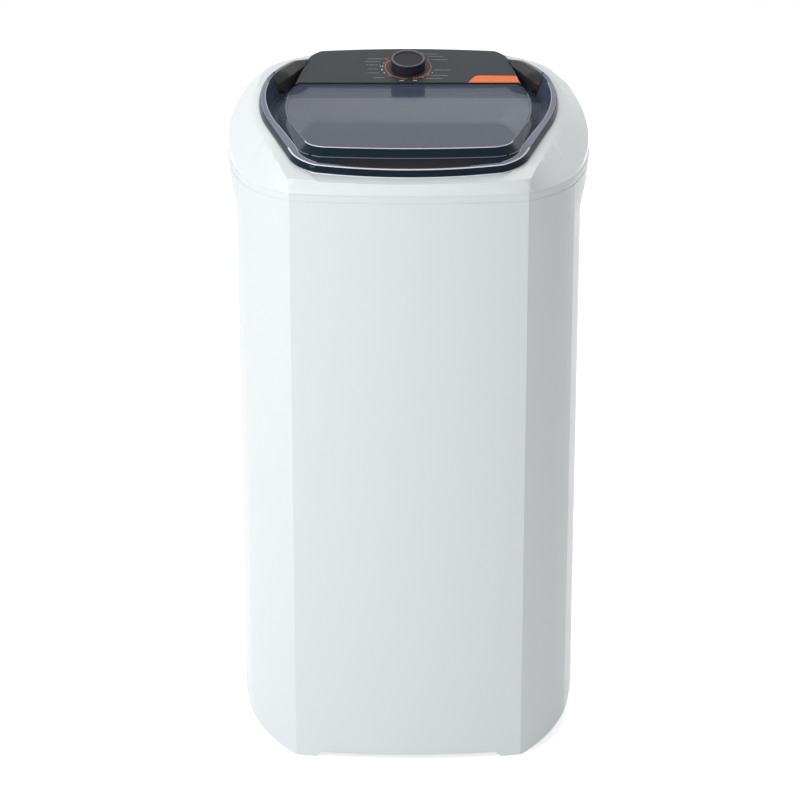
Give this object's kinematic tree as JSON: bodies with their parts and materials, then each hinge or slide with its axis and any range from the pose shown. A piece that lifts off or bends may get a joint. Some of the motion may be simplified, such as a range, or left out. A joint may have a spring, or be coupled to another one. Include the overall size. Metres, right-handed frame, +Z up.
{
  "type": "semi-automatic washing machine",
  "caption": "Top-loading semi-automatic washing machine with a smoked hinged lid, a sloping console with a timer dial, a belt-driven impeller and a lift-out lint filter.",
  "frame": {"origin": "on the floor, under the middle of the machine's width and depth", "axes": "+Z up, front of the machine towards -Y, +X to the right seen from the front"},
  "size_m": [0.5328, 0.558, 0.9598],
  "materials": {
    "cabinet_plastic": "satin",
    "base_plastic": "matte",
    "foot_rubber": "matte",
    "zinc_screw": "satin",
    "deck_plastic": "gloss",
    "smoked_lid": "gloss",
    "smoked_console": "gloss",
    "hinge_steel": "satin",
    "panel_grey": "satin",
    "knob_plastic": "satin",
    "timer_case": "matte",
    "tub_plastic": "satin",
    "ring_plastic": "satin",
    "filter_plastic": "satin",
    "cast_housing": "matte",
    "stainless_bolt": "satin",
    "bush_bronze": "satin",
    "seal_rubber": "matte",
    "shaft_steel": "satin",
    "impeller_plastic": "satin",
    "pulley_aluminium": "satin",
    "belt_rubber": "matte",
    "pulley_steel": "satin",
    "motor_paint": "satin",
    "bracket_steel": "satin",
    "mount_rubber": "matte",
    "capacitor_can": "satin",
    "clip_steel": "satin",
    "cover_plastic": "satin",
    "outlet_plastic": "satin",
    "hose_rubber": "matte",
    "gland_rubber": "matte"
  },
  "bodies": {
    "machine": {"cabinet": "cabinet_plastic", "base_tray": "base_plastic", "foot_pads": "foot_rubber", "base_screws": "zinc_screw", "top_deck": "deck_plastic", "deck_screws": "zinc_screw", "console": "smoked_console", "console_screws": "zinc_screw", "control_panel": "panel_grey", "timer": "timer_case", "wash_tub": "tub_plastic", "tub_screws": "zinc_screw", "tub_ring": "ring_plastic", "bearing_housing": "cast_housing", "hub_bolts": "stainless_bolt", "shaft_bushes": "bush_bronze", "shaft_seal": "seal_rubber", "drive_belt": "belt_rubber", "motor": "motor_paint", "motor_bracket": "bracket_steel", "motor_mounts": "mount_rubber", "motor_bolts": "zinc_screw", "run_capacitor": "capacitor_can", "capacitor_clip": "clip_steel", "rear_cover": "cover_plastic", "cover_screws": "zinc_screw", "drain_outlet": "outlet_plastic", "drain_hose": "hose_rubber", "hose_clips": "clip_steel", "cord_gland": "gland_rubber"},
    "lid_body": {"lid": "smoked_lid", "lid_hinge_pins": "hinge_steel"},
    "timer_spindle": {"timer_knob": "knob_plastic", "timer_shaft": "hinge_steel"},
    "agitator": {"impeller": "impeller_plastic", "impeller_screw": "stainless_bolt", "impeller_shaft": "shaft_steel", "large_pulley": "pulley_aluminium", "pulley_nut": "zinc_screw"},
    "rotor": {"motor_shaft": "shaft_steel", "motor_pulley": "pulley_steel"},
    "filter": {"lint_filter": "filter_plastic"}
  },
  "joints": [
    {"name": "lid_hinge", "type": "hinge", "parent": "machine", "child": "lid_body", "pos_m": [0, 0.141, 0.9355], "axis": [-1, 0, 0], "range_deg": [0, 100]},
    {"name": "timer_turn", "type": "hinge", "parent": "machine", "child": "timer_spindle", "pos_m": [0, 0.202, 0.93627], "axis": [0, 0.309, -0.9511], "range_deg": [0, 300]},
    {"name": "impeller_spin", "type": "hinge", "parent": "machine", "child": "agitator", "pos_m": [0, -0.005, 0.35], "axis": [0, 0, 1], "continuous": true},
    {"name": "motor_spin", "type": "hinge", "parent": "machine", "child": "rotor", "pos_m": [0, 0.165, 0.2], "axis": [0, 0, 1], "continuous": true},
    {"name": "filter_slide", "type": "slide", "parent": "machine", "child": "filter", "axis": [0, 0, 1], "range_m": [0, 0.125]}
  ],
  "couplings": [
    {"joint": "motor_spin", "follows": "impeller_spin", "ratio": 4}
  ]
}
